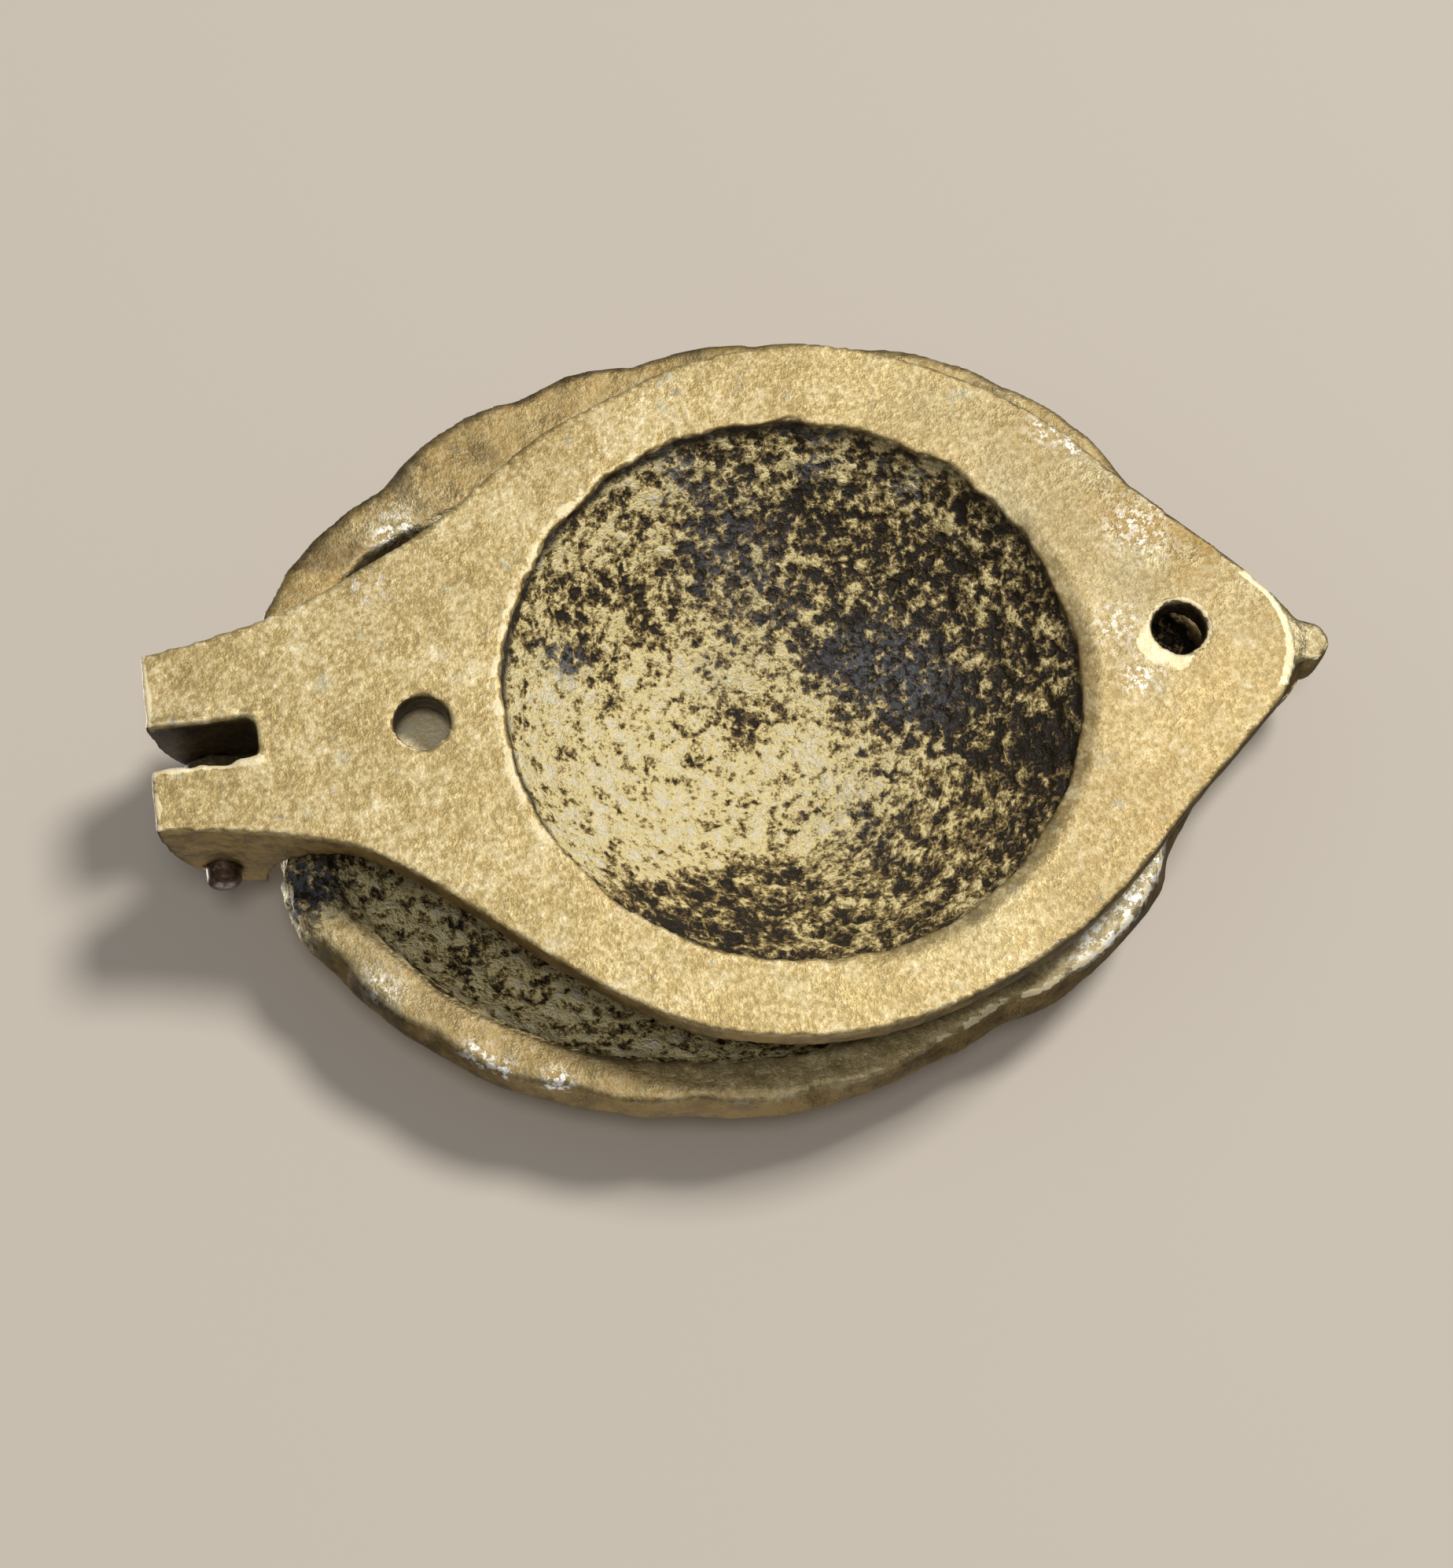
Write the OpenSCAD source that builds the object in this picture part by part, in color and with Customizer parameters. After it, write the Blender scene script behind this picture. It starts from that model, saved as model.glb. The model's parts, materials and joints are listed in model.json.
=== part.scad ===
// Cast brass door knocker: back plate with a domed hollow and a forked hinge,
// hollow lobed knocker, and the pin that joins them. Millimetres.
// Row frame: the back plate's ground face lies in the XZ plane with +Y into the
// door, the hinge is at the top (+Z), and the origin is midway between the screw
// holes. Each piece is drawn lying on its back, with x across, y towards the
// hinge and z out from the door, and is then stood up.

/* [Screw holes] */
// Distance between the two screw holes
hole_spacing = 66; // [60:0.5:70]
// Diameter of each screw hole
hole_d = 4.8; // [4:0.1:5.2]

/* [Back plate] */
// Thickness of the plate
plate_t = 2.8; // [2.4:0.1:3.3]
// Radius of the mouth of the round hollow
bowl_r = 24.9; // [23:0.1:25.5]
// Depth of the hollow below the back face
bowl_depth = 12.5; // [10:0.1:13]
// Depth of the straight lip round the mouth
bowl_lip = 1.1; // [0.6:0.1:2]
// Metal thickness of the dome in front of the hollow
dome_wall = 2.2; // [1.6:0.1:2.4]
// Height of the ears above the back face
ear_h = 13; // [12.5:0.1:13.5]
// Radius of the rounded free end of the ears, seen from the side
ear_round = 18.8; // [18.4:0.1:20]
// Width of the slot between the ears
slot_w = 3.9; // [3.6:0.1:4.2]

/* [Hinge] */
// Distance of the pin's axis above the pattern centre
pin_up = 51.4; // [51:0.1:51.6]
// Distance of the pin's axis in front of the back face
pin_out = 9.5; // [9:0.1:9.8]
// Diameter of the pin
pin_d = 3; // [2.6:0.1:3.2]
// How far the pin stands proud of the ear on each side
pin_proud = 1.7; // [1:0.1:2.5]
// Radial running clearance of the knuckle on the pin
pin_clear = 0.05; // [0.03:0.01:0.08]
// Clearance on each side of the tongue in the slot
tongue_clear = 0.3; // [0.2:0.05:0.4]
// Outer radius of the knuckle
knuckle_r = 2.8; // [2.6:0.1:3]

/* [Knocker] */
// Height of the knocker's rim above the back face
rim_up = 8; // [7.8:0.1:8.4]
// How far the rim band dips towards the hollow
rim_dip = 0.3; // [0.1:0.1:0.6]
// Height of the upright wall outside the rim
wall_h = 3.6; // [3:0.1:4.5]
// Outward flare of the upright wall
wall_flare = 0.4; // [0.2:0.1:0.8]
// How far the notches fill out at the foot of the wall
notch_fill = 0.6; // [0.2:0.1:0.9]
// Height of the crown above the back face
crown_up = 20.4; // [20.2:0.1:22]
// Height of the hollow's ceiling above the back face
ceiling_up = 17; // [16.4:0.1:17.4]
// Width of the smooth rim band
rim_band = 3.4; // [3:0.1:5]
// Extra width of the rim band at the tip
tip_band = 6; // [5:0.1:7]
// Extra width of the rim band at the upper left
side_band = 4.5; // [3:0.1:5]
// Outward bulge of each lobe as a fraction of its width
lobe_bulge = 0.07; // [0.04:0.01:0.09]
// Depth of the flutes on the front
flute_depth = 1; // [0.4:0.1:1.3]
// Radius of the finger nub
nub_r = 2; // [1.8:0.1:2.4]
// Radius of the strike stud
stud_r = 2.4; // [2:0.1:2.6]
// Gap left between the strike stud and the plate
stud_gap = 0.3; // [0.2:0.05:0.4]
// Radius of the pad behind the upper screw hole
pad_r = 4.4; // [4:0.1:4.8]
// Depth of the pad's face below the back face
pad_down = 5.4; // [5:0.1:6]

/* [Hidden] */

round_fn = 96;
eps = 0.01;

// centre lines: the castings are a little out of true with the screw holes
bowl_at = [0.6, 1.1];
slot_x = -0.45;
ear_left_x = -9.6;
ear_right_x = 7.6;
// height at which the ears start and end, and of the slot's closed end
ear_start = 47.8;
ear_end = 56;
slot_end = 46.9;
// the knocker's shoulders, left and right of the ears' roots
shoulder_left_x = -12;
shoulder_right_x = 9;
// more than half the length of any piece
beyond = 60;

// edge of the plate: right ear, right flank, tip, left flank, left ear
plate_edge = [
    [6.9, 56], [7.4, 51.5], [8.2, 47.3], [9.3, 43], [11, 38.7], [14.8, 33.4],
    [22.3, 24.8], [26.9, 18.8], [30.1, 12.9], [31.7, 6.4], [32.1, 0], [31.2, -6.3],
    [29.1, -12.8], [26, -19.2], [21.6, -25], [16, -31], [10.1, -37.8], [6.6, -41.4],
    [2.4, -42.9], [-1.2, -42.2], [-4.2, -40.3], [-8.8, -36.2], [-14, -31.5],
    [-21.4, -25.2], [-26.5, -18.3], [-30.2, -10.6], [-31.8, -3.5], [-31.3, 5],
    [-29.2, 11.3], [-26.3, 18.3], [-22.4, 24.4], [-18.8, 29.2], [-14.9, 36.4],
    [-11.9, 43.3], [-10.1, 50.2], [-9.2, 56]
];

// notches between the lobes of the knocker's rim, clockwise from the hinge's right
rim_notches = [
    [9.6, 45.9], [17.1, 42.3], [24.9, 35.2], [31, 24.6], [33.6, 14], [34.2, 4],
    [31.5, -7], [29.1, -12.8], [27.3, -18.8], [20.6, -27.6], [15.8, -30.1],
    [10.8, -34.2], [5.2, -40.8], [0.6, -45.4], [-4.2, -45], [-9.4, -39.6],
    [-17.6, -33.6], [-24.2, -29.6], [-29.4, -23.6], [-32.4, -18.8], [-34.9, -10],
    [-36.2, -2.2], [-35.6, 9.5], [-33.6, 20], [-26.4, 33.4], [-11.6, 46.4]
];
// point on the front towards which all flutes run
umbo_at = [-1.2, -6];
lobe_n = 5;
inner_rings = 7;
outer_rings = 10;
nub_at = [-0.6, -46.4];
nub_lift = 0.4;
stud_at = [1, -40];
pad_at = [-0.6, 32.8];
pad_end = 14.8;
// where the tongue's arm leaves the shell, and its thickness
arm_root = 42.5;
arm_t = 4.4;

// Catmull-Rom point between b and c, with neighbours a and d
function curve_at(a, b, c, d, f) =
    0.5 * (2 * b + (c - a) * f + (2 * a - 5 * b + 4 * c - d) * f * f
    + (3 * b - a - 3 * c + d) * f * f * f);
// open smooth curve through the points p, n steps to a span
function open_curve(p, n) = [
    for (i = [0 : len(p) - 2], k = [0 : n - 1])
        curve_at(p[max(i - 1, 0)], p[i], p[i + 1], p[min(i + 2, len(p) - 1)], k / n),
    p[len(p) - 1]
];
// closed smooth curve through the points p, n steps to a span
function closed_curve(p, n) = [
    for (i = [0 : len(p) - 1], k = [0 : n - 1])
        curve_at(p[(i + len(p) - 1) % len(p)], p[i], p[(i + 1) % len(p)],
            p[(i + 2) % len(p)], k / n)
];

// stands a piece up: x stays, y becomes up, z becomes out from the door
module stand() { rotate([90, 0, 0]) children(); }

// ---------- back plate ----------

// height of the straight edge at the ear end, between the back face and the rounding
face_edge = 1;

// side view of the plate: thin sheet, hollow sweep up to the ears, rounded ear end
module plate_side() {
    sweep_r = ear_h - plate_t;
    sweep_y = ear_start - sweep_r;
    difference() {
        translate([-beyond, 0]) square([beyond + ear_end, ear_h]);
        translate([-beyond - 1, plate_t]) square([beyond + 1 + sweep_y, ear_h]);
        translate([sweep_y, plate_t + sweep_r]) circle(r = sweep_r, $fn = round_fn);
        difference() {
            translate([ear_end - ear_round, face_edge]) square([ear_round + 1, ear_h]);
            translate([ear_end - ear_round, face_edge]) circle(r = ear_round, $fn = round_fn);
        }
    }
}

module plate_blank() {
    intersection() {
        linear_extrude(ear_h) polygon(open_curve(plate_edge, 4));
        translate([-beyond, 0, 0]) rotate([90, 0, 90]) linear_extrude(2 * beyond) plate_side();
    }
}

// ball of the hollow and of the dome share one centre
cap_h = bowl_depth - bowl_lip;
ball_r = (bowl_r * bowl_r + cap_h * cap_h) / (2 * cap_h);
ball_z = bowl_depth - ball_r;

module dome() {
    intersection() {
        translate([bowl_at.x, bowl_at.y, ball_z]) sphere(r = ball_r + dome_wall, $fn = round_fn);
        translate([bowl_at.x, bowl_at.y, 1])
            cylinder(r = bowl_r + dome_wall + 2, h = bowl_depth + dome_wall, $fn = round_fn);
    }
}

module hollow() {
    translate([bowl_at.x, bowl_at.y, -1]) cylinder(r = bowl_r, h = 1 + bowl_lip, $fn = round_fn);
    intersection() {
        translate([bowl_at.x, bowl_at.y, ball_z]) sphere(r = ball_r, $fn = round_fn);
        translate([bowl_at.x, bowl_at.y, bowl_lip - eps])
            cylinder(r = bowl_r + 1, h = bowl_depth, $fn = round_fn);
    }
}

// slot between the ears, with a step that lets the tongue lie over its closed end
module slot() {
    step_z = pin_out - arm_t / 2 - 2 * tongue_clear;
    translate([slot_x - slot_w / 2, slot_end, -1]) cube([slot_w, beyond, ear_h + 2]);
    translate([slot_x - slot_w / 2, arm_root, step_z]) cube([slot_w, beyond, ear_h]);
}

module screw_holes() {
    for (side = [-1, 1])
        translate([0, side * hole_spacing / 2, -1])
            cylinder(d = hole_d, h = ear_h + 2, $fn = round_fn);
}

// a cylinder along x, from x0 to x1, on the pin's axis
module on_pin_axis(r, x0, x1) {
    translate([x0, pin_up, pin_out]) rotate([0, 90, 0])
        cylinder(r = r, h = x1 - x0, $fn = round_fn);
}

module back_plate() {
    color("darkkhaki") stand() difference() {
        union() {
            plate_blank();
            dome();
        }
        hollow();
        slot();
        screw_holes();
        on_pin_axis(pin_d / 2, -beyond, beyond);
    }
}

// ---------- hinge pin ----------

module hinge_pin() {
    color("dimgray") stand() on_pin_axis(pin_d / 2, ear_left_x - pin_proud, ear_right_x + pin_proud);
}

// ---------- knocker ----------

rim_base = closed_curve(rim_notches, lobe_n);
rim_len = len(rim_base);
// outward direction at rim point i
function rim_out(i) =
    let (step = rim_base[(i + 1) % rim_len] - rim_base[(i + rim_len - 1) % rim_len])
    [-step.y, step.x] / norm(step);
// position within the lobe: 0 at its notches, 1 at its middle
function lobe_at(i) = sin(180 * (i % lobe_n) / lobe_n);
// width of the lobe that holds rim point i
function lobe_w(i) =
    let (k = floor(i / lobe_n))
    norm(rim_notches[(k + 1) % len(rim_notches)] - rim_notches[k]);
// how far the rim stands out beyond the smooth curve at rim point i; narrow lobes
// are flatter in proportion
full_lobe_w = 13;
function lobe_out(i) =
    lobe_bulge * lobe_w(i) * min(1, lobe_w(i) / full_lobe_w) * lobe_at(i);
rim_lobed = [for (i = [0 : rim_len - 1]) rim_base[i] + rim_out(i) * lobe_out(i)];
// rim band widens from tip_from down to the tip, and within side_reach of side_at
tip_from = -25;
tip_end = -46;
side_at = [-29.5, 28];
side_reach = 14;
function band_at(p) = rim_band
    + tip_band * max(0, (tip_from - p.y) / (tip_from - tip_end))
    + side_band * max(0, 1 - norm(p - side_at) / side_reach);
rim_inner = [for (p = rim_base) p + (umbo_at - p) * band_at(p) / norm(umbo_at - p)];

// ring of the hollow, f = 0 at its mouth and 1 at the ceiling
function inner_ring(f) = [
    for (p = rim_inner)
        let (q = p + (umbo_at - p) * (1 - cos(90 * f)))
        [q.x, q.y, rim_up + rim_dip + (ceiling_up - rim_up - rim_dip) * sin(90 * f)]
];
// ring of the front, f = 0 at the top of the wall and 1 at the umbo
function outer_ring(f) = [
    for (i = [0 : rim_len - 1])
        let (
            p = rim_base[i] + rim_out(i) * (wall_flare + max(notch_fill, lobe_out(i))),
            q = p + (umbo_at - p) * (1 - cos(90 * f)),
            low = flute_depth * (1 - lobe_at(i)) * sin(180 * pow(f, 0.6))
        )
        [q.x, q.y, rim_up + wall_h + (crown_up - rim_up - wall_h) * sin(90 * f) - low]
];

module shell() {
    rings = concat(
        [for (k = [inner_rings - 1 : -1 : 0]) inner_ring(k / inner_rings)],
        [[for (p = rim_lobed) [p.x, p.y, rim_up]]],
        [for (k = [0 : outer_rings - 1]) outer_ring(k / outer_rings)]
    );
    ring_n = len(rings);
    points = concat(
        [for (ring = rings) each ring],
        [[umbo_at.x, umbo_at.y, ceiling_up], [umbo_at.x, umbo_at.y, crown_up]]
    );
    ceiling_point = ring_n * rim_len;
    crown_point = ceiling_point + 1;
    faces = concat(
        [for (k = [0 : ring_n - 2], i = [0 : rim_len - 1])
            let (j = (i + 1) % rim_len)
            each [
                [k * rim_len + i, (k + 1) * rim_len + j, (k + 1) * rim_len + i],
                [k * rim_len + i, k * rim_len + j, (k + 1) * rim_len + j]
            ]],
        [for (i = [0 : rim_len - 1]) [i, ceiling_point, (i + 1) % rim_len]],
        [for (i = [0 : rim_len - 1])
            [(ring_n - 1) * rim_len + (i + 1) % rim_len, crown_point, (ring_n - 1) * rim_len + i]]
    );
    polyhedron(points, faces, convexity = 6);
}

tongue_w = slot_w - 2 * tongue_clear;

module knuckle() {
    on_pin_axis(knuckle_r, slot_x - tongue_w / 2, slot_x + tongue_w / 2);
}

// arm from the knuckle down into the shell's upper wall
module tongue() {
    translate([slot_x - tongue_w / 2, arm_root, pin_out - arm_t / 2])
        cube([tongue_w, pin_up - arm_root, arm_t]);
}

// room for the ears as the knocker swings; the ears are wider at their roots
module ear_room() {
    ear_gap = 0.5;
    ear_reach = norm([pin_up - ear_start, ear_h - pin_out]) + ear_gap;
    on_pin_axis(ear_reach, shoulder_left_x, shoulder_right_x);
}

module nub() {
    nub_side = wall_h + nub_lift;
    translate([nub_at.x, nub_at.y, rim_up + nub_lift]) rotate_extrude($fn = round_fn) {
        square([nub_r, nub_side]);
        translate([0, nub_side]) intersection() {
            circle(r = nub_r, $fn = round_fn);
            translate([0, -eps]) square(nub_r + eps);
        }
    }
}

module strike_stud() {
    stud_base = plate_t + stud_gap;
    translate([stud_at.x, stud_at.y, stud_base])
        cylinder(r = stud_r, h = rim_up - stud_base + 1, $fn = round_fn);
}

// round pad inside the shell that closes the view through the upper screw hole
module pad() {
    translate([pad_at.x, pad_at.y, pad_down])
        cylinder(r = pad_r, h = pad_end - pad_down, $fn = round_fn);
}

module knocker() {
    color("goldenrod") stand() difference() {
        union() {
            difference() {
                shell();
                ear_room();
            }
            tongue();
            knuckle();
            nub();
            strike_stud();
            pad();
        }
        on_pin_axis(pin_d / 2 + pin_clear, -beyond, beyond);
    }
}

back_plate();
knocker();
hinge_pin();
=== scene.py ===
"""Looks of the cast brass door knocker: two castings remeshed from the CAD solids,
roughened as sand castings are, the hinge pin, and the stage they lie on."""

import json

import bmesh
import bpy
import numpy as np
from mathutils import Matrix, Vector


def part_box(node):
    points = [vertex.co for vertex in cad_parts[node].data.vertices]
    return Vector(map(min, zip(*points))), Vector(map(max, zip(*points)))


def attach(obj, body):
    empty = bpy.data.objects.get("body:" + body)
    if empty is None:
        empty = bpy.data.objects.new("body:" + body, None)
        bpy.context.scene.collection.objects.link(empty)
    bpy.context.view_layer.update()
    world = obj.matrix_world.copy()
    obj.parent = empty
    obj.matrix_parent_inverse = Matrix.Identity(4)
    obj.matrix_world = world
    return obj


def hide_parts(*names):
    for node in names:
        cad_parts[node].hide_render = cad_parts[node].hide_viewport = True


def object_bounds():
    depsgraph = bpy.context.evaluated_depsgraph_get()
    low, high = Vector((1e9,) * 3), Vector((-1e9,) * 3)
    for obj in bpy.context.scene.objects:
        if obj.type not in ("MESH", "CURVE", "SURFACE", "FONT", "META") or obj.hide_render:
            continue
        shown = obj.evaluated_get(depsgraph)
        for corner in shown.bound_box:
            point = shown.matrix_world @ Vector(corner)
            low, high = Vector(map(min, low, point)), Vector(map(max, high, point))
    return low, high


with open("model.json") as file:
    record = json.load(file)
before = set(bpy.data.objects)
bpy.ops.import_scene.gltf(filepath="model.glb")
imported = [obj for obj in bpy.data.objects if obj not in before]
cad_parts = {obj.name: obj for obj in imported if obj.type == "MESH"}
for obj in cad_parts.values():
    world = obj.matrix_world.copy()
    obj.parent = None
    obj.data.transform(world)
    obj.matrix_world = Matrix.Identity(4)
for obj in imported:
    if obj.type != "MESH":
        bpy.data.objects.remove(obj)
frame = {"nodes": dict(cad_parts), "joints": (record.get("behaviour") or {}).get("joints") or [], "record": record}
cad_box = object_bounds()

# ---------- sizes, in millimetres unless the name says otherwise ----------

MM = 0.001
PLATE_VOXEL = 0.38
KNOCKER_VOXEL = 0.42
SMOOTH_STEPS = 3

record = frame["record"]
opening = {o["name"]: o["box_m"] for o in record["physics"]["openings"]}
bowl_x, _, bowl_z = [(a + b) / 2 / MM for a, b in zip(*opening["plate_bowl"])]
BOWL_R = 24.9
hinge_x, hinge_y, hinge_z = [v / MM for v in frame["joints"][0]["pos_m"]]
HOLE_Z = 33
HOLE_R = 2.4
SLOT_HALF = 1.95
SLOT_END = 46.9
RIM_DEPTH = 8
TIP_AT = (1.7, -34.5)
TIP_R = 8.3
UMBO = (-1.2, -6)
# the knuckle's bore, and how far from its middle it is looked for along the pin
BORE_R = 1.55
BORE_ZONE = 2.2
PAD_AT = (-0.6, 32.8)
PAD_R = 4.4
PAD_DEPTH = 5.4
LAYERS = (
    "hollow", "low", "convex", "dirt_and_shade", "tone", "wear_and_highlight", "blue", "soot_and_shade", "chalk", "streak", "ring", "round",
)


# ---------- repeatable noise ----------

def lattice(ix, iy, iz, seed):
    """A fixed number from 0 to 1 for each lattice point."""
    h = ix * 374761393 + iy * 668265263 + iz * 1274126177 + seed * 974711
    h = (h ^ (h >> 13)) & 0xFFFFFFFF
    h = (h * 1103515245 + 12345) & 0xFFFFFFFF
    h = (h ^ (h >> 16)) & 0xFFFFFFFF
    h = (h * 69069 + 1) & 0xFFFFFFFF
    return ((h >> 8) & 0xFFFF) / 65535.0


def smooth_noise(points, size, seed):
    """Value noise from -1 to 1 with features about size across."""
    q = points / size + 100.0
    base = np.floor(q).astype(np.int64)
    f = q - base
    f = f * f * (3 - 2 * f)
    total = np.zeros(len(points))
    for dx in (0, 1):
        for dy in (0, 1):
            for dz in (0, 1):
                weight = (
                    np.where(dx, f[:, 0], 1 - f[:, 0])
                    * np.where(dy, f[:, 1], 1 - f[:, 1])
                    * np.where(dz, f[:, 2], 1 - f[:, 2])
                )
                total += weight * lattice(base[:, 0] + dx, base[:, 1] + dy, base[:, 2] + dz, seed)
    return 2 * total - 1


def rough_noise(points, size, seed, octaves=3):
    """Sum of octaves of smooth_noise, each half the size and strength of the last."""
    total = np.zeros(len(points))
    for k in range(octaves):
        total += smooth_noise(points, size / 2**k, seed + 17 * k) * 0.5**k
    return total / 1.5


def pits(points, size, seed):
    """Round pits about size apart: 1 in the middle of a pit, 0 away from it."""
    q = points / size + 100.0
    base = np.floor(q).astype(np.int64)
    nearest = np.full(len(points), 9.0)
    for dx in (-1, 0, 1):
        for dy in (-1, 0, 1):
            for dz in (-1, 0, 1):
                cell = base + (dx, dy, dz)
                spot = np.stack(
                    [cell[:, k] + lattice(cell[:, 0], cell[:, 1], cell[:, 2], seed + k) for k in range(3)], 1
                )
                nearest = np.minimum(nearest, np.linalg.norm(q - spot, axis=1))
    return np.clip(1 - nearest / 0.55, 0, 1)


def step(value, lo, hi):
    """Smooth step of value from 0 at lo to 1 at hi."""
    t = np.clip((value - lo) / (hi - lo), 0, 1)
    return t * t * (3 - 2 * t)


def spots(points, places):
    """Soft round patches: each place is (x, z, radius, strength)."""
    total = np.zeros(len(points))
    for x, z, radius, strength in places:
        away = np.hypot(points[:, 0] - x, points[:, 2] - z) / radius
        total += strength * np.exp(-away * away)
    return total


def pitted(points, seed):
    """Relief of a rough casting in millimetres: lumps, grain and round pits."""
    lumps = 0.16 * rough_noise(points, 2.6, seed) + 0.28 * rough_noise(points, 1.2, seed + 1, 2)
    return lumps - 0.50 * pits(points, 1.4, seed + 2)


def lowness(relief):
    """0 on the tops of the relief, 1 at its bottom."""
    return np.clip(0.5 - relief / 0.7, 0, 1)


# ---------- meshes ----------

def cast_mesh(node, name, voxel):
    """The CAD node's mesh as one even skin with soft edges, in squares of about voxel."""
    source = bmesh.new()
    source.from_mesh(frame["nodes"][node].data)
    bmesh.ops.remove_doubles(source, verts=source.verts, dist=1e-6)
    mesh = bpy.data.meshes.new(name)
    source.to_mesh(mesh)
    source.free()
    piece = bpy.data.objects.new(name, mesh)
    bpy.context.scene.collection.objects.link(piece)
    remesh = piece.modifiers.new("remesh", "REMESH")
    remesh.mode = "VOXEL"
    remesh.voxel_size = voxel * MM
    soften = piece.modifiers.new("soften", "SMOOTH")
    soften.factor = 0.5
    soften.iterations = SMOOTH_STEPS
    graph = bpy.context.evaluated_depsgraph_get()
    skin = bpy.data.meshes.new_from_object(piece.evaluated_get(graph))
    piece.modifiers.clear()
    piece.data = skin
    skin.name = name
    skin.materials.clear()
    skin.shade_smooth()
    return piece


def read_points(mesh):
    """Vertex places in millimetres, and unit normals."""
    places = np.empty(len(mesh.vertices) * 3, np.float32)
    mesh.vertices.foreach_get("co", places)
    normals = np.empty(len(mesh.vertices) * 3, np.float32)
    mesh.vertices.foreach_get("normal", normals)
    return places.reshape(-1, 3).astype(float) / MM, normals.reshape(-1, 3).astype(float)


def write_points(mesh, points):
    mesh.vertices.foreach_set("co", (points * MM).astype(np.float32).ravel())
    mesh.update()


def neighbour_mean(mesh, values):
    """Mean of values over each vertex's neighbours."""
    ends = np.empty(len(mesh.edges) * 2, np.int32)
    mesh.edges.foreach_get("vertices", ends)
    a, b = ends.reshape(-1, 2).T
    n = len(mesh.vertices)
    count = np.bincount(a, minlength=n) + np.bincount(b, minlength=n)
    columns = values.reshape(n, -1)
    total = np.stack(
        [np.bincount(a, c[b], minlength=n) + np.bincount(b, c[a], minlength=n) for c in columns.T], 1
    )
    return (total / np.maximum(count, 1)[:, None]).reshape(values.shape)


def convexity(mesh, passes):
    """How far each vertex stands out from its neighbours, in millimetres, averaged over passes rings."""
    points, normals = read_points(mesh)
    out = np.einsum("ij,ij->i", points - neighbour_mean(mesh, points), normals)
    for _ in range(passes):
        out = 0.5 * out + 0.5 * neighbour_mean(mesh, out)
    return out


def store(mesh, layers):
    """Writes every vertex layer the brass reads; a layer left out is 0 everywhere."""
    nothing = np.zeros(len(mesh.vertices))
    for name in LAYERS:
        values = mesh.attributes.new(name, "FLOAT", "POINT")
        values.data.foreach_set("value", np.asarray(layers.get(name, nothing), np.float32))


# ---------- shader helpers ----------

class Shader:
    """A material's nodes, made in the object's own coordinates."""

    def __init__(self, name):
        self.material = bpy.data.materials.new(name)
        self.material.use_nodes = True
        self.tree = self.material.node_tree
        self.surface = self.tree.nodes["Principled BSDF"]
        self.output = self.tree.nodes["Material Output"]
        self.place = self.tree.nodes.new("ShaderNodeTexCoord").outputs["Object"]

    def put(self, socket, value):
        if isinstance(value, bpy.types.NodeSocket):
            self.tree.links.new(value, socket)
        elif hasattr(value, "__len__") and len(value) == 3 and socket.type == "RGBA":
            socket.default_value = (*value, 1)
        else:
            socket.default_value = value

    def noise(self, size, seed, detail=2.0, roughness=0.55, distortion=0.0, at=None):
        """Noise with features about size millimetres across, at the given vector or in place."""
        n = self.tree.nodes.new("ShaderNodeTexNoise")
        n.noise_dimensions = "4D"
        self.put(n.inputs["Vector"], self.place if at is None else at)
        n.inputs["W"].default_value = seed
        n.inputs["Scale"].default_value = 1 / (size * MM) if at is None else 1 / size
        n.inputs["Detail"].default_value = detail
        n.inputs["Roughness"].default_value = roughness
        n.inputs["Distortion"].default_value = distortion
        return n.outputs["Fac"]

    def attribute(self, name):
        n = self.tree.nodes.new("ShaderNodeAttribute")
        n.attribute_name = name
        return n.outputs["Fac"]

    def vector(self, x, y, z):
        n = self.tree.nodes.new("ShaderNodeCombineXYZ")
        for socket, value in zip(n.inputs, (x, y, z)):
            self.put(socket, value)
        return n.outputs["Vector"]

    def ramp(self, value, lo, hi, low=0.0, high=1.0):
        n = self.tree.nodes.new("ShaderNodeMapRange")
        n.interpolation_type = "SMOOTHSTEP"
        names = ("Value", "From Min", "From Max", "To Min", "To Max")
        for name, v in zip(names, (value, lo, hi, low, high)):
            self.put(n.inputs[name], v)
        return n.outputs["Result"]

    def math(self, operation, a, b=0.0):
        n = self.tree.nodes.new("ShaderNodeMath")
        n.operation = operation
        self.put(n.inputs[0], a)
        self.put(n.inputs[1], b)
        return n.outputs[0]

    def sum(self, *terms):
        """Adds up (value, weight) pairs."""
        total = None
        for value, weight in terms:
            part = self.math("MULTIPLY", value, weight)
            total = part if total is None else self.math("ADD", total, part)
        return total

    def mix(self, share, a, b, blend="MIX"):
        n = self.tree.nodes.new("ShaderNodeMix")
        n.data_type = "RGBA"
        n.blend_type = blend
        self.put(n.inputs[0], share)
        self.put(n.inputs[6], a)
        self.put(n.inputs[7], b)
        return n.outputs[2]

    def bump(self, height, distance, strength=1.0, below=None):
        n = self.tree.nodes.new("ShaderNodeBump")
        n.inputs["Strength"].default_value = strength
        n.inputs["Distance"].default_value = distance * MM
        self.put(n.inputs["Height"], height)
        if below is not None:
            self.put(n.inputs["Normal"], below)
        return n.outputs["Normal"]


# ---------- materials ----------

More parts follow.
